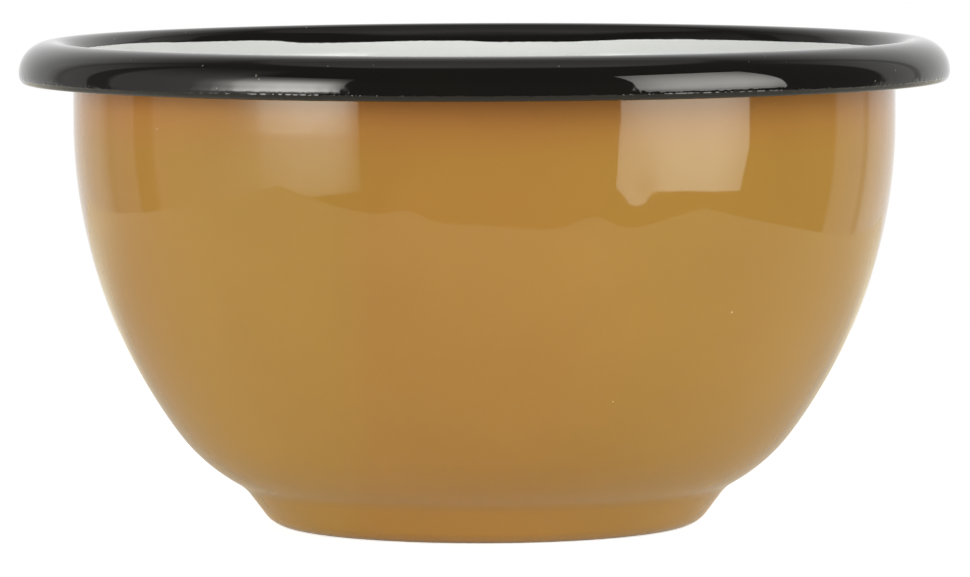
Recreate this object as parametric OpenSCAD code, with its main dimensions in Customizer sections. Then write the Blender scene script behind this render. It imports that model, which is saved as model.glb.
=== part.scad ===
// Footed enamel basin bowl: one pressed steel sheet with a rolled rim, fired with five glass coats.
// Millimetres, +Z up, origin on the standing plane at the bowl's axis.
// The section is one tangent chain of lines and arcs along the outside face, walked from the centre of the
// base to the rolled edge. Every layer is that chain set off by its own depth, so all faces seat exactly.

/* [Bowl] */
// Height from the standing plane to the crest of the rim
bowl_h = 78.4; // [70:0.2:100]
// Outside diameter of the upright wall below the rim
wall_d = 132.6; // [110:0.2:170]
// Height of the upright stretch of the wall below the rim
upright_h = 7.4; // [2:0.2:14]
// Tangent length of the belly curve as a share of the wall curve's tangent length
belly_share = 0.23; // [0.15:0.01:0.8]

/* [Foot] */
// Outside diameter of the flat standing ring
stand_d = 64; // [50:0.5:80]
// Width of the flat standing ring
stand_w = 3.7; // [2:0.1:6]
// Height of the pressed-up centre of the base above the standing plane
base_rise = 1.5; // [0.5:0.1:3]
// Radius of the two bends round the pressed-up centre
base_bend_r = 6; // [4:0.2:9]
// Outside radius of the corner between the standing ring and the foot's side
foot_corner_r = 4.7; // [3:0.1:9]
// Slope of the foot's side from level, in degrees
foot_slope = 53; // [40:1:75]
// Length of the straight stretch of the foot's side
foot_side = 4.1; // [2:0.1:8]
// Outside radius of the hollow between the foot and the belly
foot_hollow_r = 6.8; // [3:0.1:10]
// Slope of the belly where it leaves the foot, in degrees
belly_slope = 29; // [15:1:38]

/* [Rim] */
// How far the rim stands out from the wall
rim_reach = 8.7; // [7:0.1:12]
// Drop from the crest of the rim to its widest point
rim_drop = 5; // [3.5:0.1:7]
// How far the crest of the rim stands out from the wall
crest_reach = 3.5; // [3.2:0.1:4.4]
// Height of the flare, from the top of the upright wall to the underside of the crest
flare_h = 4.4; // [3.6:0.1:4.8]
// Bend radius at the foot of the flare, where the wall begins to lean out
flare_foot_r = 1; // [0.6:0.1:2]
// Lean of the flare above its foot, in degrees from upright
flare_lean = 26; // [18:1:30]
// Tangent length of the flare's slow bend as a share of the tangent length of the bend up to the crest
flare_share = 1.75; // [1.2:0.05:2.5]
// Share of the flare's slow bend that the white coat covers, below the black one
white_share = 0.55; // [0.2:0.05:0.9]
// Tangent length of the crest curve as a share of the shoulder curve's tangent length
crest_share = 1; // [0.6:0.05:1.6]
// Bend radius inside the curl at the rim's lower lip
curl_r = 1.2; // [0.4:0.1:2.5]
// Turn of the curl at the lower lip, in degrees
curl_turn = 22; // [5:1:90]
// Straight length of the lip after the curl
lip_run = 0.5; // [0.2:0.1:1.5]

/* [Layers] */
// Thickness of the steel sheet
steel_t = 0.6; // [0.4:0.05:1]
// Thickness of the dark ground coat on each face
ground_t = 0.1; // [0.05:0.01:0.2]
// Thickness of the coloured cover coat on each face
cover_t = 0.2; // [0.1:0.01:0.35]

/* [Hidden] */
// Most that a chord of an arc may lie off the true curve
arc_sag = 0.015;
// Turns of a quarter circle and of a half circle, in degrees
quarter = 90;
half = 180;
// Sides of the revolved solids in the preview
$fn = 180;

// Depths of the layer faces, from the outside face of the wall inwards
outer_ground_d = cover_t;
steel_out_d = outer_ground_d + ground_t;
steel_in_d = steel_out_d + steel_t;
cover_in_d = steel_in_d + ground_t;
wall_t = cover_in_d + cover_t;

// Radii and heights along the outside face
wall_r = wall_d / 2;
stand_r = stand_d / 2;
upright_top = bowl_h - wall_t - flare_h;
upright_foot = upright_top - upright_h;

// Turn of the bends that press up the centre of the base, and the radius of its flat panel
base_turn = acos(1 - base_rise / (2 * base_bend_r));
panel_r = stand_r - stand_w - 2 * base_bend_r * sin(base_turn);

// A leg of the chain is [straight length, radius, turn]: a positive turn bends to the left, the bowl's inside
function line(run) = [run, 0, 0];
function bend(radius, turn) = [0, radius, turn];

// Unit vectors along a heading and to its left
function ahead(heading) = [cos(heading), sin(heading)];
function leftward(heading) = [-sin(heading), cos(heading)];

// Steps that keep a bend within the chord allowance on its wider face, the inner one of a bend to the right
function steps(leg) =
    let (widest_r = leg[1] + (leg[2] < 0 ? wall_t : 0))
    leg[2] == 0 ? 1 : ceil(abs(leg[2]) / (2 * acos(max(0, 1 - arc_sag / widest_r))));

// Point reached after a share of a leg, from a place and a heading
function along(leg, share, place, heading) =
    leg[2] == 0
        ? place + share * leg[0] * ahead(heading)
        : place + sign(leg[2]) * leg[1] * (leftward(heading) - leftward(heading + share * leg[2]));

// Place and heading at the end of a leg
function end_of(leg, start) = [along(leg, 1, start[0], start[1]), start[1] + leg[2]];

// Start of each leg of a chain, and the chain's end
function starts(legs, start, i = 0) =
    i == len(legs) ? [start] : concat([start], starts(legs, end_of(legs[i], start), i + 1));

// Two bends in a row that join a start to an end, each given as place and heading. The first bend's tangent
// length is the given share of the second one's.
function two_bends(start, end, share) =
    let (
        gap = end[0] - start[0],
        t0 = ahead(start[1]),
        t1 = ahead(end[1]),
        a = 2 * share * (t0 * t1 - 1),
        b = -2 * (gap * (share * t0 + t1)),
        c = gap * gap,
        tangent = (-b - sqrt(b * b - 4 * a * c)) / (2 * a),
        middle = gap - share * tangent * t0 - tangent * t1,
        // The heading where the bends meet, as a turn from the start
        turn0 = atan2(t0[0] * middle[1] - t0[1] * middle[0], t0 * middle),
        turn1 = end[1] - start[1] - turn0
    )
    [
        bend(share * tangent / tan(abs(turn0) / 2), turn0),
        bend(tangent / tan(abs(turn1) / 2), turn1)
    ];

// Base and foot, from the axis out to where the belly begins
foot_legs = [
    line(panel_r),
    bend(base_bend_r, -base_turn),
    bend(base_bend_r, base_turn),
    line(stand_w),
    bend(foot_corner_r, foot_slope),
    line(foot_side),
    bend(foot_hollow_r, belly_slope - foot_slope)
];
base_centre = [[0, base_rise], 0];
foot_starts = starts(foot_legs, base_centre);
belly_start = foot_starts[len(foot_legs)];

// Belly and wall up to the rim
wall_legs = concat(two_bends(belly_start, [[wall_r, upright_foot], quarter], belly_share), [line(upright_h)]);

// Part of a leg
function part_of(leg, share) = [share * leg[0], leg[1], share * leg[2]];

// Flare up to the crest. Its slow bend has two parts, which meet where the black coat takes over from the white.
crest = [[wall_r + crest_reach, bowl_h - wall_t], 0];
flare_foot = bend(flare_foot_r, -flare_lean);
flare_bends = two_bends(end_of(flare_foot, [[wall_r, upright_top], quarter]), crest, flare_share);
white_legs = [flare_foot, part_of(flare_bends[0], white_share)];
flare_legs = concat(white_legs, [part_of(flare_bends[0], 1 - white_share), flare_bends[1]]);

// Crest and shoulder out to the widest point, then the curl and its lip
widest = [[wall_r + rim_reach - wall_t, bowl_h - rim_drop], -quarter];
shoulder_legs = two_bends(crest, widest, crest_share);
lip_legs = [bend(curl_r, -curl_turn), line(lip_run)];

section_legs = concat(foot_legs, wall_legs, flare_legs, shoulder_legs, lip_legs);
section_starts = starts(section_legs, base_centre);

// Stations of the section: place and heading at every chord end, from the axis to the cut edge
stations = concat(
    [base_centre],
    [
        for (i = [0 : len(section_legs) - 1])
            let (leg = section_legs[i], from = section_starts[i], n = steps(leg))
            for (k = [1 : n])
                [along(leg, k / n, from[0], from[1]), from[1] + leg[2] * k / n]
    ]
);

// Station at which a leg starts
function first_station(leg, i = 0) = i == leg ? 0 : steps(section_legs[i]) + first_station(leg, i + 1);
cut_edge = len(stations) - 1;
black_edge = first_station(len(foot_legs) + len(wall_legs) + len(white_legs));
wrap_edge = first_station(len(section_legs) - len(lip_legs));

// Points of the section at a depth from the outside face, from one station to another in either direction
function face(depth, from, to) = [
    for (i = [from : (to < from ? -1 : 1) : to])
        stations[i][0] + depth * leftward(stations[i][1])
];

// Rounded nose of the black coat round the cut edge, between its two faces
function nose() =
    let (
        heading = stations[cut_edge][1],
        centre = stations[cut_edge][0] + wall_t / 2 * leftward(heading),
        n = steps(bend(wall_t / 2, half))
    )
    [for (k = [1 : n - 1]) centre + wall_t / 2 * ahead(heading + quarter - half * k / n)];

// A layer between two depths, from the axis to a station, revolved round the bowl's axis
module layer(depth_out, depth_in, to) {
    rotate_extrude()
        polygon(concat(face(depth_out, 0, to), face(depth_in, to, 0)));
}

// The pressed sheet with its foot, wall and hollow rolled rim
module steel_bowl() {
    color("slategray") layer(steel_out_d, steel_in_d, cut_edge);
}

// Dark bonding coat on the inside face, up to the cut edge
module inner_ground_coat() {
    color("midnightblue") layer(steel_in_d, cover_in_d, cut_edge);
}

// Dark bonding coat on the outside face, up to the cut edge
module outer_ground_coat() {
    color("darkslateblue") layer(outer_ground_d, steel_out_d, cut_edge);
}

// White cover coat of the inside, up to the black rim
module inner_white_enamel() {
    color("gainsboro") layer(cover_in_d, wall_t, black_edge);
}

// Mustard cover coat of the foot and wall, which runs on into the hollow of the rim
module outer_mustard_enamel() {
    color("#ac7b3a") layer(0, outer_ground_d, wrap_edge);
}

// Black cover coat over the rim, wrapped round the cut edge onto the lip's hidden face
module rim_black_enamel() {
    color("#1a1814")
        rotate_extrude()
            polygon(concat(
                face(wall_t, black_edge, cut_edge),
                nose(),
                face(0, cut_edge, wrap_edge),
                face(outer_ground_d, wrap_edge, cut_edge),
                face(cover_in_d, cut_edge, black_edge)
            ));
}

steel_bowl();
inner_ground_coat();
outer_ground_coat();
inner_white_enamel();
outer_mustard_enamel();
rim_black_enamel();
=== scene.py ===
"""Looks of a footed enamel basin bowl: three fired glass coats over one pressed steel sheet.

Metres, +Z up, origin on the standing plane at the bowl's axis. A coat is drawn flat, as an outline of run
along the sheet's outside face against depth through the sheet. A node tree wraps that outline round the
sheet's section, spins it round the axis and gives it the waves, dents, beads and uneven edges of fired glass.
"""
import cmath
import math

import bpy
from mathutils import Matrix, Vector


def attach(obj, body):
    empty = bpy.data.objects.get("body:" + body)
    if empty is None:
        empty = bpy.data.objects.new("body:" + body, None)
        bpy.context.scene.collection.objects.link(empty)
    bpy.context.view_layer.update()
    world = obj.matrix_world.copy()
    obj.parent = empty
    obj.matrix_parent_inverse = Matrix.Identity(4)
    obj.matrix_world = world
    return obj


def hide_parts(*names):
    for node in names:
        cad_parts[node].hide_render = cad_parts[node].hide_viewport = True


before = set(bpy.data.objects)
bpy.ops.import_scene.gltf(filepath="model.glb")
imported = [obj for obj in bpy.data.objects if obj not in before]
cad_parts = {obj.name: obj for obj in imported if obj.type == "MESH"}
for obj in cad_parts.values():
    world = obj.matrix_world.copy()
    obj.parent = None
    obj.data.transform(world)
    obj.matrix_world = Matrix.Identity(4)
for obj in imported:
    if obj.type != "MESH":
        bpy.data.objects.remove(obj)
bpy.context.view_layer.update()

MM = 0.001
QUARTER = math.pi / 2

# Pressed sheet, along its outside face from the middle of the base to the cut edge of the rim
BOWL_H = 78.4 * MM
WALL_R = 66.3 * MM
UPRIGHT_H = 7.4 * MM
BELLY_SHARE = 0.23
STAND_R = 32 * MM
STAND_W = 3.7 * MM
BASE_RISE = 1.5 * MM
BASE_BEND_R = 6 * MM
FOOT_CORNER_R = 4.7 * MM
FOOT_SLOPE = math.radians(53)
FOOT_SIDE = 4.1 * MM
FOOT_HOLLOW_R = 6.8 * MM
BELLY_SLOPE = math.radians(29)
RIM_REACH = 8.7 * MM
RIM_DROP = 5 * MM
CREST_REACH = 3.5 * MM
FLARE_H = 4.4 * MM
FLARE_FOOT_R = 1 * MM
FLARE_LEAN = math.radians(26)
FLARE_SHARE = 1.75
WHITE_SHARE = 0.55
CREST_SHARE = 1.0
CURL_R = 1.2 * MM
CURL_TURN = math.radians(22)
LIP_RUN = 0.5 * MM

# Depths of the coats' faces, from the outside of the wall inwards
COVER_T = 0.2 * MM
GROUND_T = 0.1 * MM
STEEL_T = 0.6 * MM
INSIDE_D = COVER_T + GROUND_T + STEEL_T + GROUND_T
WALL_T = INSIDE_D + COVER_T


def line(length):
    """A straight leg of the section, as its length and its turn."""
    return length, 0.0


def bend(radius, turn):
    """A round leg of the section. A turn to the left, towards the inside, is positive."""
    return radius * abs(turn), turn


def walk(start, leg, share=1.0):
    """Place and heading after a share of a leg. A place is radius + height * 1j."""
    place, heading = start
    length, turn = leg
    ahead = cmath.rect(1, heading)
    if not turn:
        return place + share * length * ahead, heading
    turned = cmath.rect(1, heading + share * turn)
    return place + length / turn * (turned - ahead) / 1j, heading + share * turn


def two_bends(start, end, share):
    """Two bends that join a start to an end.

    The first bend's tangent length is the given share of the second one's.
    """
    gap = end[0] - start[0]
    t0, t1 = cmath.rect(1, start[1]), cmath.rect(1, end[1])
    a = 2 * share * ((t0 * t1.conjugate()).real - 1)
    b = -2 * (gap * (share * t0 + t1).conjugate()).real
    c = abs(gap) ** 2
    tangent = (-b - math.sqrt(b * b - 4 * a * c)) / (2 * a)
    middle = gap - share * tangent * t0 - tangent * t1
    turn0 = cmath.phase(middle / t0)
    turn1 = end[1] - start[1] - turn0
    radius0 = share * tangent / math.tan(abs(turn0) / 2)
    radius1 = tangent / math.tan(abs(turn1) / 2)
    return bend(radius0, turn0), bend(radius1, turn1)


def section_legs():
    """The section's legs by name, from the axis to the cut edge, with a straight run-out past it."""
    base_turn = math.acos(1 - BASE_RISE / (2 * BASE_BEND_R))
    panel_r = STAND_R - STAND_W - 2 * BASE_BEND_R * math.sin(base_turn)
    legs = {
        "panel": line(panel_r),
        "panel_bend": bend(BASE_BEND_R, -base_turn),
        "ring_bend": bend(BASE_BEND_R, base_turn),
        "ring": line(STAND_W),
        "foot_corner": bend(FOOT_CORNER_R, FOOT_SLOPE),
        "foot_side": line(FOOT_SIDE),
        "foot_hollow": bend(FOOT_HOLLOW_R, BELLY_SLOPE - FOOT_SLOPE),
    }
    belly_start = BASE_RISE * 1j, 0.0
    for leg in legs.values():
        belly_start = walk(belly_start, leg)
    upright_top = BOWL_H - WALL_T - FLARE_H
    wall_end = WALL_R + (upright_top - UPRIGHT_H) * 1j, QUARTER
    legs["belly"], legs["wall"] = two_bends(belly_start, wall_end, BELLY_SHARE)
    legs["upright"] = line(UPRIGHT_H)
    legs["flare_foot"] = bend(FLARE_FOOT_R, -FLARE_LEAN)
    flare_start = walk((WALL_R + upright_top * 1j, QUARTER), legs["flare_foot"])
    crest = WALL_R + CREST_REACH + (BOWL_H - WALL_T) * 1j, 0.0
    (slow_run, slow_turn), roll = two_bends(flare_start, crest, FLARE_SHARE)
    legs["white_flare"] = slow_run * WHITE_SHARE, slow_turn * WHITE_SHARE
    legs["black_flare"] = slow_run * (1 - WHITE_SHARE), slow_turn * (1 - WHITE_SHARE)
    legs["roll"] = roll
    widest = WALL_R + RIM_REACH - WALL_T + (BOWL_H - RIM_DROP) * 1j, -QUARTER
    legs["crest"], legs["side"] = two_bends(crest, widest, CREST_SHARE)
    legs["curl"] = bend(CURL_R, -CURL_TURN)
    legs["lip"] = line(LIP_RUN)
    legs["run_out"] = line(WALL_T)
    return legs


def leg_runs(legs):
    """Run from the axis to the start of each leg."""
    runs, run = {}, 0.0
    for name, (length, _) in legs.items():
        runs[name] = run
        run += length
    return runs


LEGS = section_legs()
RUN = leg_runs(LEGS)


def leg_stations(first, last, longest, sharpest):
    """Runs along the legs from first to last, in steps no longer and no sharper than given."""
    names = list(LEGS)
    runs = [RUN[first]]
    for name in names[names.index(first):names.index(last) + 1]:
        length, turn = LEGS[name]
        steps = math.ceil(max(length / longest, abs(turn) / sharpest, 1))
        runs += [RUN[name] + length * k / steps for k in range(1, steps + 1)]
    return runs


def front_place(azimuth, distance, height):
    """A place round the bowl. Azimuth is in degrees from the front, positive to the right."""
    turn = math.radians(azimuth)
    return Vector((distance * math.sin(turn), -distance * math.cos(turn), height))


# Node trees


def add_node(tree, kind, inputs=(), **settings):
    """A new node. Its inputs are values or sockets, by name or number."""
    made = tree.nodes.new(kind)
    for name, value in settings.items():
        setattr(made, name, value)
    for name, value in dict(inputs).items():
        if isinstance(value, bpy.types.NodeSocket):
            tree.links.new(value, made.inputs[name])
        else:
            made.inputs[name].default_value = value
    return made


def reckon(tree, operation, *values):
    """The result of a math node."""
    return add_node(tree, "ShaderNodeMath", enumerate(values), operation=operation).outputs[0]


def product(tree, *values):
    """Several numbers multiplied together."""
    result = values[0]
    for value in values[1:]:
        result = reckon(tree, "MULTIPLY", result, value)
    return result


def total(tree, *values):
    """Several numbers added up."""
    result = values[0]
    for value in values[1:]:
        result = reckon(tree, "ADD", result, value)
    return result


def reckon_vector(tree, operation, *values):
    """The result of a vector math node."""
    return add_node(tree, "ShaderNodeVectorMath", enumerate(values), operation=operation).outputs[0]


def scale_vector(tree, vector, factor):
    """A vector times a number."""
    inputs = {"Vector": vector, "Scale": factor}
    return add_node(tree, "ShaderNodeVectorMath", inputs, operation="SCALE").outputs[0]


def distance_from(tree, vector, point):
    """How far a vector is from a fixed point."""
    inputs = {0: vector, 1: point}
    return add_node(tree, "ShaderNodeVectorMath", inputs, operation="DISTANCE").outputs["Value"]


def join_vector(tree, x, y, z):
    """A vector from three numbers."""
    return add_node(tree, "ShaderNodeCombineXYZ", {"X": x, "Y": y, "Z": z}).outputs[0]


def split_vector(tree, vector):
    """The three numbers of a vector."""
    return add_node(tree, "ShaderNodeSeparateXYZ", {0: vector}).outputs


def ramp_between(tree, value, low, high, at_low=0.0, at_high=1.0, smooth=True):
    """A number that goes from one level to another while a value goes from low to high."""
    inputs = {"Value": value, "From Min": low, "From Max": high, "To Min": at_low, "To Max": at_high}
    kind = "SMOOTHSTEP" if smooth else "LINEAR"
    return add_node(tree, "ShaderNodeMapRange", inputs, interpolation_type=kind).outputs[0]


def bell(tree, distance, width):
    """A smooth bump of height 1 about distance 0."""
    share = reckon(tree, "DIVIDE", distance, width)
    return reckon(tree, "EXPONENT", product(tree, share, share, -0.5))


def noise_about_zero(tree, place, size, seed, detail=0.0):
    """Smooth noise from about -1 to 1 whose features have the given size."""
    inputs = {"Vector": place, "W": seed, "Scale": reckon(tree, "DIVIDE", 1.0, size), "Detail": detail}
    noise = add_node(tree, "ShaderNodeTexNoise", inputs, noise_dimensions="4D")
    return ramp_between(tree, noise.outputs[0], 0.0, 1.0, -1.0, 1.0, smooth=False)


def level_ramp(tree, value, stops, handle="VECTOR"):
    """A number read from (value, level) stops, with straight ramps between them or smooth ones."""
    places, levels = zip(*stops)
    share = ramp_between(tree, value, places[0], places[-1], smooth=False)
    curve = add_node(tree, "ShaderNodeFloatCurve", {"Value": share})
    points = curve.mapping.curves[0].points
    low, high = min(levels), max(levels)
    while len(points) < len(stops):
        points.new(0.5, 0.5)
    for spot, (place, level) in zip(points, stops):
        spot.location = (place - places[0]) / (places[-1] - places[0]), (level - low) / (high - low)
        spot.handle_type = handle
    curve.mapping.update()
    return ramp_between(tree, curve.outputs[0], 0.0, 1.0, low, high, smooth=False)


def azimuth_of(tree, x, y):
    """Azimuth in degrees from the front, positive to the right."""
    return reckon(tree, "DEGREES", reckon(tree, "ARCTAN2", x, product(tree, y, -1.0)))


def add_sockets(tree, inputs, outputs):
    """Names a tree's inputs, as (kind, name, value), and outputs, as (kind, name)."""
    for kind, name, value in inputs:
        socket = tree.interface.new_socket(name, in_out="INPUT", socket_type="NodeSocket" + kind)
        if value is not None:
            socket.default_value = value
    for kind, name in outputs:
        tree.interface.new_socket(name, in_out="OUTPUT", socket_type="NodeSocket" + kind)
    return tree.nodes.new("NodeGroupInput").outputs, tree.nodes.new("NodeGroupOutput").inputs


def socket_name(key):
    """The socket that a keyword stands for, such as Peel Size for peel_size."""
    return key.replace("_", " ").title()


# Coats

# Dents of the wall as the light shows them: azimuth from the front, height, radius and depth
DENTS = [
    (20.8, 57 * MM, 2.2 * MM, 0.14 * MM),
    (20.8, 61.9 * MM, 3 * MM, 0.115 * MM),
    (14.7, 50.2 * MM, 2.5 * MM, 0.16 * MM),
    (-10.7, 51.7 * MM, 2 * MM, 0.12 * MM),
]

# How far the black coat's edge lies up from its mean place, in millimetres by azimuth. The front isn't seen.
BLACK_EDGE = [
    (-180, -0.3), (-170, -0.1), (-157, -0.25), (-150, 0.2), (-144, 0.55), (-130, 0.75), (-115, 1.05),
    (-90, 0.8), (-60, 0.4), (-30, 0.6), (0, 0.3), (30, 0.5), (60, 0.4), (90, 0.6), (115, 0.6), (130, 0.48),
    (150, 0.35), (165, -0.15), (173, -0.35), (180, -0.3),
]

# How far the glass swells along the lip, as a share by azimuth, and how much its beads add to that share
LIP_SWELL = [
    (-180, 0.5), (-100, 0.3), (-65, 0.3), (-50, 0.9), (-36, 1.2), (-22, 1.0), (0, 0.9), (15, 0.8), (25, 0.6),
    (36, 0.35), (50, 0.3), (100, 0.3), (180, 0.5),
]
BEAD_SHARE = 0.25

# Points closer than this are one point, and faces that meet at more than this turn keep a sharp edge
SAME_POINT = 0.001 * MM
SHARP_TURN = math.radians(50)

# Longest and sharpest step of the curve that the coats follow
LINE_STEP = 1 * MM
LINE_TURN = math.radians(1.5)


def outline_grid(tree, given):
    """A grid with a row for each point of the outline and a column for each side.

    Returns the grid, the outline's point of each row and the angle of each column.
    """
    counts = add_node(tree, "GeometryNodeAttributeDomainSize", {0: given["Outline"]}, component="MESH")
    rows, columns = counts.outputs[0], total(tree, given["Sides"], 1)
    grid = add_node(tree, "GeometryNodeMeshGrid", {"Vertices X": rows, "Vertices Y": columns}).outputs[0]
    index = add_node(tree, "GeometryNodeInputIndex").outputs[0]
    row = reckon(tree, "FLOOR", reckon(tree, "DIVIDE", total(tree, index, 0.5), columns))
    column = reckon(tree, "SUBTRACT", index, product(tree, row, columns))
    drawn = add_node(tree, "GeometryNodeInputPosition").outputs[0]
    point = add_node(tree, "GeometryNodeSampleIndex", {
        "Geometry": given["Outline"], "Value": drawn, "Index": row}, data_type="FLOAT_VECTOR").outputs[0]
    angle = product(tree, reckon(tree, "DIVIDE", column, given["Sides"]), math.tau)
    return grid, point, angle


def uneven_edge(tree, given, outward, azimuth):
    """How far the black coat's edge lies up from its mean place."""
    on_wall = scale_vector(tree, outward, WALL_R)
    sway = noise_about_zero(tree, on_wall, given["Edge Sway Size"], given["Seed"])
    grain = noise_about_zero(tree, on_wall, given["Edge Grain Size"], given["Seed"], detail=2.0)
    drawn_edge = product(tree, level_ramp(tree, azimuth, BLACK_EDGE, "AUTO"), MM)
    swayed = product(tree, sway, given["Edge Sway"])
    grained = product(tree, grain, given["Edge Grain"])
    return total(tree, drawn_edge, swayed, grained)


def spun_vector(tree, outward, out, up):
    """A vector from its length out from the axis and its length up."""
    return reckon_vector(tree, "ADD", scale_vector(tree, outward, out), join_vector(tree, 0.0, 0.0, up))


def place_on_sheet(tree, given, outward, run, depth):
    """The place at a run and a depth of the sheet's section, and the way into the sheet there."""
    sheet = add_node(tree, "GeometryNodeObjectInfo", {"Object": given["Sheet Line"]}).outputs["Geometry"]
    on_line = add_node(tree, "GeometryNodeSampleCurve", {"Curves": sheet, "Length": run}, mode="LENGTH")
    radius, _, height = split_vector(tree, on_line.outputs["Position"])
    along_r, _, along_z = split_vector(tree, on_line.outputs["Tangent"])
    into = spun_vector(tree, outward, product(tree, along_z, -1.0), along_r)
    on_face = spun_vector(tree, outward, radius, height)
    return reckon_vector(tree, "ADD", on_face, scale_vector(tree, into, depth)), into


def face_waves(tree, given, place):
    """Slow waves and smaller ripples of the fired face."""
    waves = noise_about_zero(tree, place, given["Wave Size"], given["Seed"])
    ripples = noise_about_zero(tree, place, given["Ripple Size"], given["Seed"])
    waved = product(tree, given["Wave Height"], waves)
    rippled = product(tree, given["Ripple Height"], ripples)
    return total(tree, waved, rippled)


def wall_dents(tree, given, place):
    """Dents pressed into the outside of the wall."""
    dents = 0.0
    for azimuth, height, radius, depth in DENTS:
        away = distance_from(tree, place, front_place(azimuth, WALL_R, height))
        dents = total(tree, dents, product(tree, bell(tree, away, radius), depth))
    return product(tree, dents, given["Dent Share"])


def lip_beads(tree, given, place, run, azimuth):
    """The swell of glass along the covered cut edge, broken into beads."""
    swell = bell(tree, reckon(tree, "SUBTRACT", run, given["Bead Run"]), given["Bead Width"])
    noise = noise_about_zero(tree, place, given["Bead Size"], given["Seed"], detail=1.0)
    share = total(tree, level_ramp(tree, azimuth, LIP_SWELL, "AUTO"), product(tree, noise, BEAD_SHARE))
    return product(tree, swell, share, given["Bead Height"])


def smooth_coat(tree, spun):
    """Closes a coat's seam and poles and shades it smooth, but for its own sharp edges."""
    closed = add_node(tree, "GeometryNodeMergeByDistance", {
        "Geometry": spun, "Distance": SAME_POINT}).outputs[0]
    turn = add_node(tree, "GeometryNodeInputMeshEdgeAngle").outputs[0]
    sharp = add_node(tree, "FunctionNodeCompare", {
        "A": turn, "B": SHARP_TURN}, operation="GREATER_THAN").outputs[0]
    smooth = add_node(tree, "GeometryNodeSetShadeSmooth", {"Geometry": closed}, domain="FACE").outputs[0]
    return add_node(tree, "GeometryNodeSetShadeSmooth", {
        "Geometry": smooth, "Selection": sharp, "Shade Smooth": False}, domain="EDGE").outputs[0]


def coat_tree():
    """Geometry nodes that wrap a coat's flat outline round the sheet's section and spin it round the axis."""
    tree = bpy.data.node_groups.new("fired_coat", "GeometryNodeTree")
    given, result = add_sockets(tree, [
        ("Geometry", "Outline", None),
        ("Object", "Sheet Line", None),
        ("Int", "Sides", 400),
        ("Float", "Wave Height", 0.0),
        ("Float", "Wave Size", 25 * MM),
        ("Float", "Ripple Height", 0.0),
        ("Float", "Ripple Size", 6 * MM),
        ("Float", "Dent Share", 0.0),
        ("Float", "Edge Run", 0.0),
        ("Float", "Edge Slide", 0.0),
        ("Float", "Edge Fade", 2 * MM),
        ("Float", "Edge Sway", 0.05 * MM),
        ("Float", "Edge Sway Size", 6 * MM),
        ("Float", "Edge Grain", 0.1 * MM),
        ("Float", "Edge Grain Size", 1 * MM),
        ("Float", "Ridge Height", 0.0),
        ("Float", "Ridge Width", 0.4 * MM),
        ("Float", "Bead Run", 1.0),
        ("Float", "Bead Width", 0.4 * MM),
        ("Float", "Bead Height", 0.0),
        ("Float", "Bead Size", 1.2 * MM),
        ("Float", "Seed", 1.0),
        ("Material", "Coat", None),
    ], [("Geometry", "Coat")])
    grid, point, angle = outline_grid(tree, given)
    run, depth, skin = split_vector(tree, point)
    cosine, sine = reckon(tree, "COSINE", angle), reckon(tree, "SINE", angle)
    outward = join_vector(tree, cosine, sine, 0.0)
    azimuth = azimuth_of(tree, cosine, sine)

    # The uneven edge of the black coat slides the rows near it along the sheet
    edge = uneven_edge(tree, given, outward, azimuth)
    from_edge = reckon(tree, "SUBTRACT", run, given["Edge Run"])
    near_edge = ramp_between(tree, from_edge, 0.0, given["Edge Fade"], 1.0, 0.0)
    slide = product(tree, edge, near_edge, given["Edge Slide"])
    place, into = place_on_sheet(tree, given, outward, total(tree, run, slide), depth)

    # The white coat has a low ridge along the black edge
    past_edge = reckon(tree, "SUBTRACT", from_edge, edge)
    ridge = product(tree, bell(tree, past_edge, given["Ridge Width"]), given["Ridge Height"])

    # The fired face is lifted from its drawn place
    waves, dents = face_waves(tree, given, place), wall_dents(tree, given, place)
    beads = lip_beads(tree, given, place, run, azimuth)
    lift = product(tree, total(tree, waves, dents, ridge, beads), skin)
    finished = reckon_vector(tree, "ADD", place, scale_vector(tree, into, lift))
    spun = add_node(tree, "GeometryNodeSetPosition", {"Geometry": grid, "Position": finished}).outputs[0]
    real = add_node(tree, "GeometryNodeRealizeInstances", {"Geometry": smooth_coat(tree, spun)}).outputs[0]
    dressed = add_node(tree, "GeometryNodeSetMaterial", {"Geometry": real, "Material": given["Coat"]})
    tree.links.new(dressed.outputs[0], result["Coat"])
    return tree


def sheet_line():
    """The sheet's section as a curve that the coats follow."""
    curve = bpy.data.curves.new("sheet_line", "CURVE")
    curve.dimensions = "3D"
    start = BASE_RISE * 1j, 0.0
    places = [start[0]]
    for length, turn in LEGS.values():
        steps = math.ceil(max(length / LINE_STEP, abs(turn) / LINE_TURN))
        places += [walk(start, (length, turn), k / steps)[0] for k in range(1, steps + 1)]
        start = walk(start, (length, turn))
    spline = curve.splines.new("POLY")
    spline.points.add(len(places) - 1)
    for spline_point, place in zip(spline.points, places):
        spline_point.co = place.real, 0.0, place.imag, 1.0
    made = bpy.data.objects.new("sheet_line", curve)
    bpy.context.collection.objects.link(made)
    return made


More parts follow.
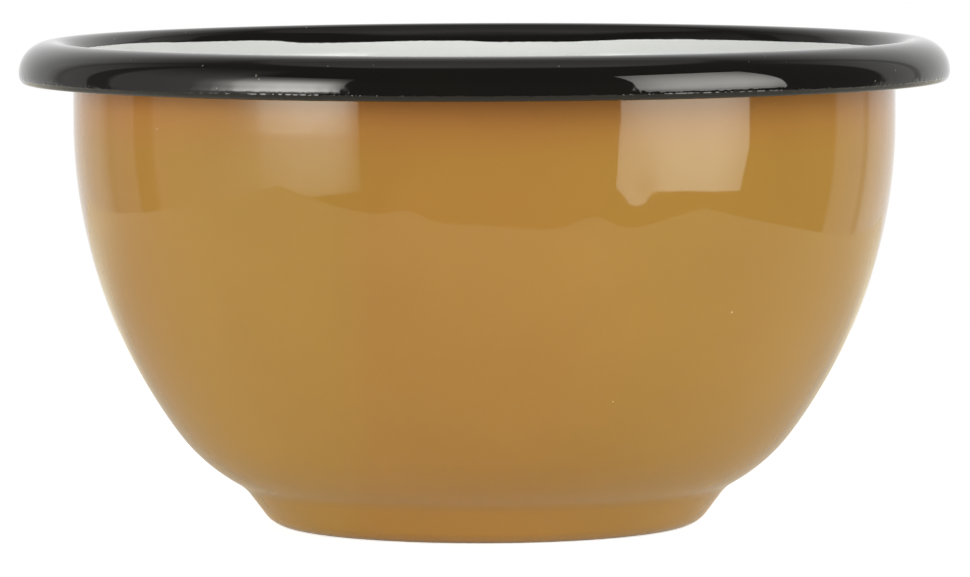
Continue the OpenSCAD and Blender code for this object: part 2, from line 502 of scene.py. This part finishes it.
def fire_coat(name, outline, material, node_name, slot, tree, path, **sizes):
    """Makes a coat from its flat outline and lets it stand for its node.

    The outline is a list of (run, depth, skin). Skin is 1 on a fired face and 0 where the coat is seated.
    """
    drawing = bpy.data.meshes.new(name + "_outline")
    drawing.from_pydata(outline, [], [])
    piece = bpy.data.objects.new(name, drawing)
    bpy.context.collection.objects.link(piece)
    modifier = piece.modifiers.new("fired_coat", "NODES")
    modifier.node_group = tree
    values = {"Sheet Line": path, "Coat": material}
    values.update((socket_name(key), size) for key, size in sizes.items())
    for socket in tree.interface.items_tree:
        if socket.in_out == "INPUT" and socket.name in values:
            modifier[socket.identifier] = values[socket.name]
    seen = piece.evaluated_get(bpy.context.evaluated_depsgraph_get())
    finished = bpy.data.meshes.new_from_object(seen)
    piece.modifiers.clear()
    piece.data = finished
    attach(piece, "root")
    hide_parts(node_name)


# Flat outlines of the coats

# Steps along a fired face, over the rim and under the lip, and along a hidden back
FINE_STEP = 1.1 * MM
FINE_TURN = math.radians(4)
RIM_STEP = FINE_STEP / 2
WRAP_STEP = FINE_STEP / 3
PLAIN_STEP = 6 * MM
PLAIN_TURN = math.radians(10)

# Steps near the black coat's edge and round the lip, and how many lie on each side of that edge
EDGE_STEP = 0.12 * MM
EDGE_ROWS = 10

# The white coat runs on under the black one, thins out there and ends
BLACK_RUN = RUN["black_flare"]
WHITE_LAP = 1.5 * MM
WHITE_THIN = 2.2 * MM
WHITE_END_T = 0.03 * MM
WHITE_END = [(BLACK_RUN + WHITE_THIN, INSIDE_D + WHITE_END_T, 0.0), (BLACK_RUN + WHITE_THIN, INSIDE_D, 0.0)]

# The black coat's edge rises to this height above the white in this run. Its face and its seat start past it.
BLACK_EDGE_H = 0.06 * MM
BLACK_EDGE_RUN = 0.16 * MM
BLACK_EDGE_STEPS = 4
BLACK_FACE_FROM = BLACK_RUN + 1.5 * BLACK_EDGE_RUN
BLACK_SEAT_FROM = BLACK_RUN + 2 * BLACK_EDGE_RUN
SEAT = 0.004 * MM
NOSE_STEPS = 10

# Run from the start of the curl to the swell of glass on the lip
LIP_SWELL_RUN = 0.55 * MM


def white_outline():
    """The inside coat: its face, its thin end under the black coat, and its back."""
    face = leg_stations("panel", "white_flare", FINE_STEP, FINE_TURN)
    face = [run for run in face if run < BLACK_RUN - EDGE_ROWS * EDGE_STEP]
    face += [BLACK_RUN + k * EDGE_STEP for k in range(-EDGE_ROWS, EDGE_ROWS + 2)]
    face += [BLACK_RUN + WHITE_LAP]
    back = leg_stations("panel", "white_flare", PLAIN_STEP, PLAIN_TURN)
    outline = [(run, WALL_T, 1.0) for run in face] + WHITE_END
    return outline + [(run, INSIDE_D, 0.0) for run in reversed(back)]


def mustard_outline():
    """The outside coat: its back, from the axis into the hollow of the rim, and its face."""
    face = leg_stations("panel", "side", FINE_STEP, FINE_TURN)
    back = leg_stations("panel", "side", PLAIN_STEP, PLAIN_TURN)
    return [(run, COVER_T, 0.0) for run in back] + [(run, 0.0, 1.0) for run in reversed(face)]


def black_outline():
    """The rim's coat: its rounded edge on the white, its face, its nose round the cut edge, and its back."""
    outline = []
    for k in range(BLACK_EDGE_STEPS + 1):
        rise = QUARTER * k / BLACK_EDGE_STEPS
        run = BLACK_RUN + BLACK_EDGE_RUN * (1 - math.cos(rise))
        outline.append((run, WALL_T + BLACK_EDGE_H * math.sin(rise), 1.0))
    fade_to = RUN["crest"]
    side = leg_stations("black_flare", "side", RIM_STEP, FINE_TURN)
    for run in side + leg_stations("curl", "lip", EDGE_STEP, FINE_TURN)[1:]:
        if run > BLACK_FACE_FROM:
            share = max(0.0, (fade_to - run) / (fade_to - BLACK_FACE_FROM))
            outline.append((run, WALL_T + BLACK_EDGE_H * share, 1.0))
    cut = RUN["run_out"]
    for k in range(1, NOSE_STEPS):
        turned = math.pi * k / NOSE_STEPS
        outline.append((cut + WALL_T / 2 * math.sin(turned), WALL_T / 2 * (1 + math.cos(turned)), 1.0))
    wrap = leg_stations("curl", "lip", WRAP_STEP, FINE_TURN)
    outline += [(run, 0.0, (run - wrap[0]) / (cut - wrap[0])) for run in reversed(wrap)]
    outline += [(run, COVER_T, 0.0) for run in wrap] + [(cut, INSIDE_D, 0.0)]
    back = leg_stations("black_flare", "lip", PLAIN_STEP, PLAIN_TURN)
    outline += [(run, INSIDE_D, 0.0) for run in reversed(back[:-1]) if run > BLACK_RUN + WHITE_THIN]
    outline += reversed(WHITE_END)
    outline += [(BLACK_RUN + WHITE_LAP, WALL_T - SEAT, 1.0), (BLACK_SEAT_FROM, WALL_T - SEAT, 1.0)]
    return outline + outline[:1]


# Finishes

GLASS_IOR = 1.5

# Size of the fine peel as a share of the broad one's, and the step from the peel's seed to the haze's
FINE_PEEL_SIZE = 0.3
HAZE_SEED_STEP = 4.0

# Specks: how far a seed moves them, the span of their sizes, the share of a speck inside its soft edge, and
# how many times as high as the peel they stand
SPECK_SHIFT = Vector((0.137, 0.071, 0.093))
SPECK_LEAST, SPECK_MOST = 0.5, 1.2
SPECK_CORE = 0.7
SPECK_RISE = 4.0


def glaze_group():
    """What all fired glass here shares: orange peel about 0, and a slow mottle and a haze from 0 to 1."""
    tree = bpy.data.node_groups.new("fired_glass", "ShaderNodeTree")
    given, result = add_sockets(tree, [
        ("Float", "Peel Size", 2 * MM),
        ("Float", "Fine Share", 0.2),
        ("Float", "Mottle Size", 18 * MM),
        ("Float", "Haze Size", 7 * MM),
        ("Float", "Seed", 1.0),
    ], [("Float", "Peel"), ("Float", "Mottle"), ("Float", "Haze")])
    place = add_node(tree, "ShaderNodeTexCoord").outputs["Object"]
    broad = noise_about_zero(tree, place, given["Peel Size"], given["Seed"])
    fine_size = product(tree, given["Peel Size"], FINE_PEEL_SIZE)
    fine = noise_about_zero(tree, place, fine_size, given["Seed"], detail=1.0)
    tree.links.new(total(tree, broad, product(tree, fine, given["Fine Share"])), result["Peel"])
    mottle = noise_about_zero(tree, place, given["Mottle Size"], given["Seed"], detail=2.0)
    tree.links.new(ramp_between(tree, mottle, low=-0.5, high=0.5), result["Mottle"])
    haze_seed = total(tree, given["Seed"], HAZE_SEED_STEP)
    haze = noise_about_zero(tree, place, given["Haze Size"], haze_seed, detail=4.0)
    tree.links.new(ramp_between(tree, haze, low=-0.1, high=0.6), result["Haze"])
    return tree


def speck_group():
    """Round specks in some cells of a random packing, as a mask."""
    tree = bpy.data.node_groups.new("specks", "ShaderNodeTree")
    given, result = add_sockets(tree, [
        ("Float", "Spacing", 8 * MM),
        ("Float", "Radius", 0.2 * MM),
        ("Float", "Kept", 0.3),
        ("Float", "Seed", 1.0),
    ], [("Float", "Mask")])
    place = add_node(tree, "ShaderNodeTexCoord").outputs["Object"]
    moved = reckon_vector(tree, "ADD", place, scale_vector(tree, SPECK_SHIFT, given["Seed"]))
    cells = add_node(tree, "ShaderNodeTexVoronoi", {
        "Vector": moved, "Scale": reckon(tree, "DIVIDE", 1.0, given["Spacing"])})
    away = product(tree, cells.outputs["Distance"], given["Spacing"])
    drawn = split_vector(tree, cells.outputs["Color"])
    size = ramp_between(tree, drawn[1], 0.0, 1.0, SPECK_LEAST, SPECK_MOST, smooth=False)
    radius = product(tree, given["Radius"], size)
    spot = ramp_between(tree, away, product(tree, radius, SPECK_CORE), radius, 1.0, 0.0)
    kept = reckon(tree, "LESS_THAN", drawn[0], given["Kept"])
    tree.links.new(product(tree, spot, kept), result["Mask"])
    return tree


def new_material(name):
    """An empty material with its Principled shader."""
    material = bpy.data.materials.new(name)
    material.use_nodes = True
    return material, material.node_tree, material.node_tree.nodes["Principled BSDF"]


def use_group(tree, group, **values):
    """Places a shader group with its own values and returns its outputs."""
    made = add_node(tree, "ShaderNodeGroup", node_tree=group)
    for key, value in values.items():
        made.inputs[socket_name(key)].default_value = value
    return made.outputs


def blend_colours(tree, share, first, second, way="MIX"):
    """A mix of two colours, each a socket or three numbers. To multiply, the second is a tint."""
    made = add_node(tree, "ShaderNodeMix", {0: share}, data_type="RGBA", blend_type=way)
    for socket, colour in zip(made.inputs[6:8], (first, second)):
        if isinstance(colour, bpy.types.NodeSocket):
            tree.links.new(colour, socket)
        else:
            socket.default_value = (*colour, 1.0)
    return made.outputs[2]


def bump_from(tree, shader, height, distance):
    """Drives a shader's normal from a height in the given unit."""
    bump = add_node(tree, "ShaderNodeBump", {"Height": height, "Distance": distance})
    tree.links.new(bump.outputs[0], shader.inputs["Normal"])


def glass_coat(name, groups, tones, speck_colour, peel_height, gloss, seed, specks):
    """A glossy fired glass with mottled colour, orange peel and specks.

    Gloss is the roughness, where the glass is clear and where it is hazed.
    """
    glaze, speck = groups
    material, tree, shader = new_material(name)
    face = use_group(tree, glaze, seed=seed)
    spots = use_group(tree, speck, seed=seed, **specks)["Mask"]
    colour = blend_colours(tree, face["Mottle"], *tones)
    colour = blend_colours(tree, spots, colour, speck_colour)
    tree.links.new(colour, shader.inputs["Base Color"])
    tree.links.new(ramp_between(tree, face["Haze"], 0.0, 1.0, *gloss), shader.inputs["Roughness"])
    shader.inputs["IOR"].default_value = GLASS_IOR
    bump_from(tree, shader, total(tree, face["Peel"], product(tree, spots, SPECK_RISE)), peel_height)
    return material


def white_enamel(groups):
    """The inside's gloss white with a few dark specks."""
    return glass_coat(
        "white_enamel", groups, seed=3.0,
        tones=((0.713, 0.722, 0.695), (0.676, 0.685, 0.658)), speck_colour=(0.05, 0.045, 0.04),
        peel_height=0.0008 * MM, gloss=(0.03, 0.06),
        specks={"spacing": 10 * MM, "radius": 0.22 * MM, "kept": 0.5})


# The underside of the standing ring is scuffed, up to this height
SCUFF_H = 0.35 * MM
SCRATCH_SIZE = 0.8 * MM
SCUFF_COLOUR = (0.17, 0.085, 0.03)
SCUFF_ROUGHNESS = 0.4

# The mustard is tinted redder under the rim, from one height to the other, as a painted reddish shade of the
# rim's shadow
RIM_SHADE_FROM, RIM_SHADE_TO = 62 * MM, 72.5 * MM
RIM_SHADE_TINT = (1.09, 0.89, 1.15)

# It is tinted greener where the wall mirrors the softboxes and the pale room, as a painted reflection tint:
# shares by place across, in millimetres
PAINTED_REFLECTION_ACROSS = [
    (-70, 0.9), (-61, 0.7), (-57, 0.1), (-52, 0.3), (-45, 0.9), (-24, 0.9), (-17, 0.0), (5, 0.0), (25, 0.7),
    (70, 0.9),
]
PAINTED_REFLECTION_TINT = (1.0, 1.08, 1.0)

# Tints of what the mustard and the black glass mirror
MUSTARD_GLINT = (0.94, 1.0, 0.9, 1.0)
BLACK_GLINT = (1.0, 0.975, 0.93, 1.0)


def mustard_enamel(groups):
    """The outside's gloss mustard with pale specks, scuffed where it stands, with a painted greenish
    reflection tint in places and a painted reddish shade under the rim.
    """
    material = glass_coat(
        "mustard_enamel", groups, seed=5.0,
        tones=((0.352, 0.177, 0.0336), (0.337, 0.169, 0.0322)), speck_colour=(0.62, 0.45, 0.22),
        peel_height=0.0008 * MM, gloss=(0.035, 0.06),
        specks={"spacing": 10 * MM, "radius": 0.2 * MM, "kept": 0.5})
    tree = material.node_tree
    shader = tree.nodes["Principled BSDF"]
    plain_colour = shader.inputs["Base Color"].links[0].from_socket
    clean_gloss = shader.inputs["Roughness"].links[0].from_socket
    place = add_node(tree, "ShaderNodeTexCoord").outputs["Object"]
    across, _, height = split_vector(tree, place)
    low = ramp_between(tree, height, SCUFF_H / 2, SCUFF_H, 1.0, 0.0)
    scratches = noise_about_zero(tree, place, SCRATCH_SIZE, seed=2.0, detail=6.0)
    scuffed = product(tree, low, ramp_between(tree, scratches, low=-0.3, high=0.4))
    # Painted reflection: a greener tint in the columns where the wall mirrors bright light
    painted_reflection_share = level_ramp(tree, reckon(tree, "DIVIDE", across, MM), PAINTED_REFLECTION_ACROSS)
    reflection_tinted_colour = blend_colours(tree, painted_reflection_share, plain_colour, PAINTED_REFLECTION_TINT, "MULTIPLY")
    # Painted shade: redder towards the rim, where the rim shades the wall
    rim_shade_share = ramp_between(tree, height, RIM_SHADE_FROM, RIM_SHADE_TO, smooth=False)
    clean_colour = blend_colours(tree, rim_shade_share, reflection_tinted_colour, RIM_SHADE_TINT, "MULTIPLY")
    tree.links.new(blend_colours(tree, scuffed, clean_colour, SCUFF_COLOUR), shader.inputs["Base Color"])
    worn_gloss = total(tree, clean_gloss, product(tree, scuffed, SCUFF_ROUGHNESS))
    tree.links.new(worn_gloss, shader.inputs["Roughness"])
    shader.inputs["Specular Tint"].default_value = MUSTARD_GLINT
    return material


# Fine grain of the black glass along the lip, in patches, which fades out between two heights, and the broken
# bead on the lip's face. How high they stand is in multiples of the black glass's peel.
BLACK_PEEL_H = 0.001 * MM
LIP_GRAIN_FROM, LIP_GRAIN_TO = 72.7 * MM, 73.3 * MM
LIP_GRAIN_SIZE = 0.6 * MM
LIP_GRAIN_H = 25.0
LIP_PATCH_SIZE = 20 * MM
LIP_PATCH_LEAST = 0.3
LIP_BEAD_AT = 72.52 * MM
LIP_BEAD_W = 0.08 * MM
LIP_BEAD_H = 60.0
LIP_BREAK_SIZE = 0.8 * MM


def black_enamel(groups):
    """The rim's gloss black with pale grains caught in it."""
    material = glass_coat(
        "black_enamel", groups, seed=7.0,
        tones=((0.0042, 0.0035, 0.0024), (0.0032, 0.0027, 0.002)), speck_colour=(0.1, 0.095, 0.08),
        peel_height=BLACK_PEEL_H, gloss=(0.03, 0.06),
        specks={"spacing": 2.2 * MM, "radius": 0.2 * MM, "kept": 0.5})
    tree = material.node_tree
    tree.nodes["Principled BSDF"].inputs["Specular Tint"].default_value = BLACK_GLINT
    bump_height = tree.nodes["Bump"].inputs["Height"]
    place = add_node(tree, "ShaderNodeTexCoord").outputs["Object"]
    height = split_vector(tree, place)[2]
    low = ramp_between(tree, height, LIP_GRAIN_FROM, LIP_GRAIN_TO, 1.0, 0.0)
    patches = noise_about_zero(tree, place, LIP_PATCH_SIZE, seed=13.0, detail=1.0)
    patched = ramp_between(tree, patches, low=-0.4, high=0.4, at_low=LIP_PATCH_LEAST)
    grain = noise_about_zero(tree, place, LIP_GRAIN_SIZE, seed=14.0, detail=1.0)
    grown = product(tree, grain, low, patched, LIP_GRAIN_H)
    breaks = noise_about_zero(tree, place, LIP_BREAK_SIZE, seed=15.0, detail=1.0)
    bead = bell(tree, reckon(tree, "SUBTRACT", height, LIP_BEAD_AT), LIP_BEAD_W)
    beaded = product(tree, bead, ramp_between(tree, breaks, low=-0.25, high=0.25), LIP_BEAD_H)
    tree.links.new(total(tree, bump_height.links[0].from_socket, grown, beaded), bump_height)
    return material


def ground_coat(groups):
    """The dark bonding glass under the cover coats, with burst bubbles."""
    return glass_coat(
        "ground_coat", groups, seed=9.0,
        tones=((0.03, 0.035, 0.06), (0.018, 0.02, 0.034)), speck_colour=(0.008, 0.008, 0.012),
        peel_height=0.004 * MM, gloss=(0.12, 0.3),
        specks={"spacing": 1.6 * MM, "radius": 0.15 * MM, "kept": 0.5})


# Bare steel: its tones, plain and bloomed, its streaks and how they are drawn out, and its roughness
STEEL_TONES = (0.46, 0.46, 0.47), (0.38, 0.38, 0.385)
BLOOM_SIZE = 9 * MM
STREAK_SIZE = 0.4 * MM
STREAK_DRAW = Vector((1.0, 1.0, 0.05))
STREAK_H = 0.002 * MM
STEEL_ROUGHNESS = 0.28, 0.42


def sheet_steel():
    """Bare drawn steel, streaked along the draw, with a dull bloom."""
    material, tree, shader = new_material("sheet_steel")
    place = add_node(tree, "ShaderNodeTexCoord").outputs["Object"]
    drawn_out = reckon_vector(tree, "MULTIPLY", place, STREAK_DRAW)
    streaks = noise_about_zero(tree, drawn_out, STREAK_SIZE, seed=11.0, detail=3.0)
    bloom = noise_about_zero(tree, place, BLOOM_SIZE, seed=12.0, detail=3.0)
    bloomed = ramp_between(tree, bloom, low=-0.5, high=0.5)
    tree.links.new(blend_colours(tree, bloomed, *STEEL_TONES), shader.inputs["Base Color"])
    shader.inputs["Metallic"].default_value = 1.0
    tree.links.new(ramp_between(tree, streaks, -0.6, 0.6, *STEEL_ROUGHNESS), shader.inputs["Roughness"])
    bump_from(tree, shader, streaks, STREAK_H)
    return material


def dress_node(node_name, material):
    """Gives a carried-over node its finish."""
    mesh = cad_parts[node_name].data
    mesh.materials.clear()
    mesh.materials.append(material)


# Studio

SOFTBOX_AWAY = 1.6
SOFTBOX_LEVEL = 60 * MM
WATTS_PER_RADIANCE = math.pi

# Softboxes as the bowl mirrors them: shares by azimuth from the front times radiances by elevation, both
# in degrees
LEFT_ACROSS = [
    (-76, 0.0), (-70, 0.08), (-65, 0.3), (-62, 0.62), (-56, 0.85), (-50, 1.0), (-42, 1.0), (-38, 0.8),
    (-34, 0.25),
]
LEFT_UP = [
    (-14, 1.1), (-12, 1.7), (-2.8, 2.7), (-2.4, 6.1), (-1.9, 7), (0, 10.6), (6, 12.8), (12, 13), (18, 9.4),
    (24, 4.8), (30, 1.9), (36, 0.6),
]
RIGHT_ACROSS = [(36.6, 0.6), (44, 0.9), (50, 1.0), (65, 1.0), (71, 0.85), (76.9, 0.6)]
RIGHT_UP = [(-12.8, 3.6), (-3, 4.6), (4, 6.2), (12, 7.5), (24, 6.2), (36, 4.1), (43, 3.1)]

# The right softbox is narrower at its foot: for its left and its right half, the share that it is narrower by
# and the share of the height where that ends
RIGHT_PINCH = (0.22, 0.2), (0.1, 0.14)
NO_PINCH = (0.0, 1.0), (0.0, 1.0)

# The room round the bowl: radiances by azimuth times shares by elevation, and the least radiance
ROOM_ACROSS = [
    (-180, 1.0), (-155, 0.9), (-142, 0.75), (-137, 0.75), (-135, 0.66), (-131.5, 0.54), (-130, 0.36),
    (-127.5, 0.38), (-126, 0.46), (-115.2, 0.5), (-114, 0.16), (-106, 0.17), (-104.6, 0.52), (-90, 0.64),
    (-80, 0.78), (-72, 0.86), (-64, 0.36), (-58, 0.16), (36, 0.16), (80, 0.12), (114.4, 0.1), (115.6, 0.62),
    (131, 0.66), (132.5, 0.42), (134.5, 0.42), (136, 0.78), (142, 0.92), (155, 1.0), (180, 1.0),
]
ROOM_UP = [(-90, 1.0), (20, 1.0), (34, 0.82), (44, 0.52), (52, 0.32), (60, 0.1), (90, 0.05)]
ROOM_LEAST = 0.14

# The round pale panel overhead, brightest near its front: radiances by distance back from the bowl's axis
PANEL_AT = Vector((0.0, 75 * MM, 478 * MM))
PANEL_R = 225 * MM
PANEL_SOFT_R = 185 * MM
PANEL_BACK = [
    (-0.15, 0.1), (-0.11, 0.25), (-0.08, 0.56), (-0.03, 0.5), (0.03, 0.36), (0.09, 0.28), (0.16, 0.21),
    (0.3, 0.15),
]

# Corners of the white board that the bowl stands on, in millimetres, as the wall mirrors its near edge
BOARD = [(-270, -200), (0, -200), (205, -136), (217, -20), (217, 400), (-270, 400)]
BOARD_DROP = 0.05 * MM
BOARD_COLOUR = (0.86, 0.85, 0.8, 1.0)
BOARD_ROUGHNESS = 0.9

# The board's own light: white to the camera, and tinted to the bowl, where it goes from one level to another
# between two distances back from the bowl's axis
WHITE = (1.0, 1.0, 1.0)
BOARD_GLOW = 0.75
BOARD_FRONT_AT, BOARD_BACK_AT = 20 * MM, 250 * MM
BOARD_FRONT_LIGHT, BOARD_BACK_LIGHT = 0.145, 0.42
BOARD_BOUNCE = (1.0, 0.94, 0.68)


def aim(made, target):
    """Turns a lamp to a point."""
    made.rotation_euler = (target - made.location).to_track_quat("-Z", "Y").to_euler()


def area_lamp(name, width, height, place, target):
    """A lamp of radiance 1 that the camera doesn't see. Returns its node tree."""
    lamp = bpy.data.lights.new(name, "AREA")
    lamp.shape = "RECTANGLE"
    lamp.size, lamp.size_y = width, height
    lamp.energy = WATTS_PER_RADIANCE * width * height
    lamp.use_nodes = True
    made = bpy.data.objects.new(name, lamp)
    made.location = place
    aim(made, target)
    made.visible_camera = False
    bpy.context.collection.objects.link(made)
    return lamp.node_tree


def softbox(name, across, up, pinch):
    """An upright softbox whose radiance is a ramp of (azimuth, share) times a ramp of (elevation, level)."""
    middle = (across[0][0] + across[-1][0]) / 2
    sides = [(SOFTBOX_AWAY * math.tan(math.radians(azimuth - middle)), share) for azimuth, share in across]
    heights = [(SOFTBOX_AWAY * math.tan(math.radians(elevation)), level) for elevation, level in up]
    width, low = 2 * sides[-1][0], heights[0][0]
    height = heights[-1][0] - low
    place = front_place(middle, SOFTBOX_AWAY, SOFTBOX_LEVEL + low + height / 2)
    tree = area_lamp(name, width, height, place, Vector((0.0, 0.0, place.z)))
    spot = split_vector(tree, add_node(tree, "ShaderNodeNewGeometry").outputs["Parametric"])
    place_across = reckon(tree, "SUBTRACT", spot[0], 0.5)
    spreads = [ramp_between(tree, spot[1], 0.0, top, 1.0 + share, 1.0) for share, top in pinch]
    halves = [reckon(tree, kept, place_across, 0.0) for kept in ("MINIMUM", "MAXIMUM")]
    side = total(tree, *(product(tree, half, spread) for half, spread in zip(halves, spreads)))
    lit = reckon(tree, "LESS_THAN", reckon(tree, "ABSOLUTE", side), 0.5)
    by_side = product(tree, lit, level_ramp(tree, side, [(x / width, share) for x, share in sides]))
    by_height = level_ramp(tree, spot[1], [((z - low) / height, level) for z, level in heights])
    tree.links.new(product(tree, by_side, by_height), tree.nodes["Emission"].inputs["Strength"])


def overhead_panel():
    """A round panel over the bowl that fades towards its back and its edge."""
    below = Vector((PANEL_AT.x, PANEL_AT.y, 0.0))
    tree = area_lamp("overhead_panel", 2 * PANEL_R, 2 * PANEL_R, PANEL_AT, below)
    place = add_node(tree, "ShaderNodeNewGeometry").outputs["Position"]
    rounded = ramp_between(tree, distance_from(tree, place, PANEL_AT), PANEL_SOFT_R, PANEL_R, 1.0, 0.0)
    level = level_ramp(tree, split_vector(tree, place)[1], PANEL_BACK)
    tree.links.new(product(tree, rounded, level), tree.nodes["Emission"].inputs["Strength"])


def room():
    """The world: pale behind and to the left, dark in front and to the right, and white to the camera."""
    world = bpy.data.worlds.new("room")
    bpy.context.scene.world = world
    world.use_nodes = True
    tree = world.node_tree
    tree.nodes.clear()
    x, y, z = split_vector(tree, add_node(tree, "ShaderNodeTexCoord").outputs["Generated"])
    by_azimuth = level_ramp(tree, azimuth_of(tree, x, y), ROOM_ACROSS)
    by_elevation = level_ramp(tree, reckon(tree, "DEGREES", reckon(tree, "ARCSINE", z)), ROOM_UP)
    is_camera = add_node(tree, "ShaderNodeLightPath").outputs["Is Camera Ray"]
    seen = reckon(tree, "MAXIMUM", product(tree, by_azimuth, by_elevation), ROOM_LEAST)
    strength = reckon(tree, "MAXIMUM", seen, is_camera)
    shade = add_node(tree, "ShaderNodeBackground", {"Color": (*WHITE, 1.0), "Strength": strength})
    add_node(tree, "ShaderNodeOutputWorld", {"Surface": shade.outputs[0]})


def light_studio():
    """Two softboxes, a pale panel overhead and the room."""
    softbox("left_softbox", LEFT_ACROSS, LEFT_UP, NO_PINCH)
    softbox("right_softbox", RIGHT_ACROSS, RIGHT_UP, RIGHT_PINCH)
    overhead_panel()
    room()


def white_board():
    """The white board under the bowl, which keeps the bowl's shadow."""
    mesh = bpy.data.meshes.new("board")
    mesh.from_pydata([(x * MM, y * MM, -BOARD_DROP) for x, y in BOARD], [], [range(len(BOARD))])
    made = bpy.data.objects.new("board", mesh)
    bpy.context.collection.objects.link(made)
    material, tree, shader = new_material("board_white")
    shader.inputs["Base Color"].default_value = BOARD_COLOUR
    shader.inputs["Roughness"].default_value = BOARD_ROUGHNESS
    shader.inputs["Specular IOR Level"].default_value = 0.0
    is_camera = add_node(tree, "ShaderNodeLightPath").outputs["Is Camera Ray"]
    back = split_vector(tree, add_node(tree, "ShaderNodeTexCoord").outputs["Object"])[1]
    added = ramp_between(tree, back, BOARD_FRONT_AT, BOARD_BACK_AT, BOARD_FRONT_LIGHT, BOARD_BACK_LIGHT)
    glow = ramp_between(tree, is_camera, 0.0, 1.0, added, BOARD_GLOW, smooth=False)
    tree.links.new(blend_colours(tree, is_camera, BOARD_BOUNCE, WHITE), shader.inputs["Emission Color"])
    tree.links.new(glow, shader.inputs["Emission Strength"])
    mesh.materials.append(material)


# Camera, as fitted to the bowl's outline

IMAGE_W = 970
FOCAL_PX = 7418.9
SENSOR_W = 36.0
CAMERA_AT = Vector((0.285 * MM, -1196.8 * MM, 124.3 * MM))
CAMERA_PITCH = 0.0720
CAMERA_ROLL = math.radians(0.2)


def photo_camera():
    """The camera of the photograph's view."""
    lens = bpy.data.cameras.new("camera")
    lens.sensor_width = SENSOR_W
    lens.lens = SENSOR_W * FOCAL_PX / IMAGE_W
    made = bpy.data.objects.new("camera", lens)
    made.location = CAMERA_AT
    made.rotation_euler = (QUARTER - CAMERA_PITCH, CAMERA_ROLL, 0.0)
    bpy.context.collection.objects.link(made)
    bpy.context.scene.camera = made


def main():
    """Sets up the studio, finishes the carried-over nodes and fires the three cover coats."""
    photo_camera()
    light_studio()
    white_board()
    groups = glaze_group(), speck_group()
    dress_node("steel_bowl", sheet_steel())
    ground = ground_coat(groups)
    for node_name in ("inner_ground_coat", "outer_ground_coat"):
        dress_node(node_name, ground)
    path, tree = sheet_line(), coat_tree()
    fire_coat("white_coat", white_outline(), white_enamel(groups), "inner_white_enamel", "white_enamel",
              tree, path, sides=448, wave_height=0.01 * MM, ripple_height=0.001 * MM, edge_run=BLACK_RUN,
              ridge_height=0.03 * MM)
    fire_coat("mustard_coat", mustard_outline(), mustard_enamel(groups), "outer_mustard_enamel",
              "mustard_enamel", tree, path, sides=400, wave_height=0.012 * MM, ripple_height=0.001 * MM,
              dent_share=1.0)
    fire_coat("black_coat", black_outline(), black_enamel(groups), "rim_black_enamel", "black_enamel",
              tree, path, sides=900, wave_height=0.01 * MM, ripple_height=0.002 * MM, edge_run=BLACK_RUN,
              edge_slide=1.0, bead_run=RUN["curl"] + LIP_SWELL_RUN, bead_height=0.2 * MM)
    bpy.data.objects.remove(path)


main()
bpy.context.scene.view_settings.view_transform = "Standard"
